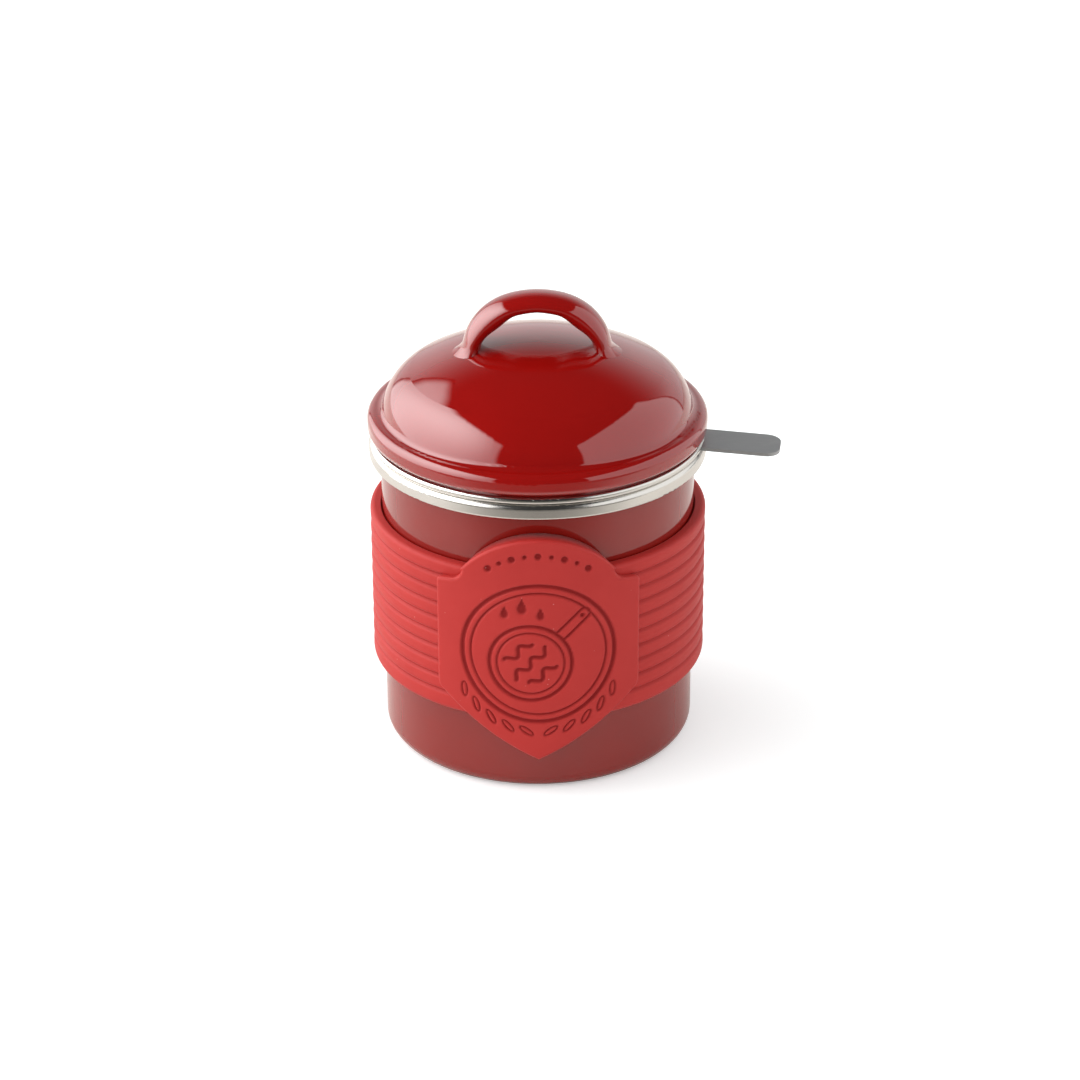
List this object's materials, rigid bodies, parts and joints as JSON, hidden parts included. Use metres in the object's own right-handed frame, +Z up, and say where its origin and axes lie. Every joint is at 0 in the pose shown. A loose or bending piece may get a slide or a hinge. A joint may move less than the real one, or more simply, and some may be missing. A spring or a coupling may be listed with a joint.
{
  "type": "bacon grease container",
  "caption": "Round enamelled steel grease keeper with a lift-off domed lid, a lift-out tabbed mesh strainer, a steel rim and a ribbed silicone grip sleeve.",
  "frame": {"origin": "centre of the base, on the surface that the can stands on", "axes": "+Z up along the can's axis, -Y towards the sleeve's badge, +X towards the strainer's tab"},
  "size_m": [0.1179, 0.0989, 0.135],
  "materials": {
    "red_enamel_can": "gloss",
    "bright_steel_band": "polished",
    "bright_steel_ring": "polished",
    "steel_mesh": "satin",
    "satin_steel_tab": "satin",
    "red_enamel_lid": "gloss",
    "red_enamel_collar": "gloss",
    "red_enamel_handle": "gloss",
    "red_silicone": "matte"
  },
  "bodies": {
    "bin": {"bin_can": "red_enamel_can", "rim_band": "bright_steel_band"},
    "strainer": {"strainer_ring": "bright_steel_ring", "strainer_mesh": "steel_mesh", "strainer_tab": "satin_steel_tab"},
    "lid": {"lid_dome": "red_enamel_lid", "lid_collar": "red_enamel_collar", "lid_handle": "red_enamel_handle"},
    "sleeve": {"silicone_sleeve": "red_silicone"}
  },
  "joints": [
    {"name": "strainer_lift", "type": "slide", "parent": "bin", "child": "strainer", "axis": [0, 0, 1], "range_m": [0, 0.045]},
    {"name": "lid_lift", "type": "slide", "parent": "strainer", "child": "lid", "axis": [0, 0, 1], "range_m": [0, 0.05]},
    {"name": "sleeve_slide", "type": "slide", "parent": "bin", "child": "sleeve", "axis": [0, 0, 1], "range_m": [-0.012, 0.0048]}
  ]
}
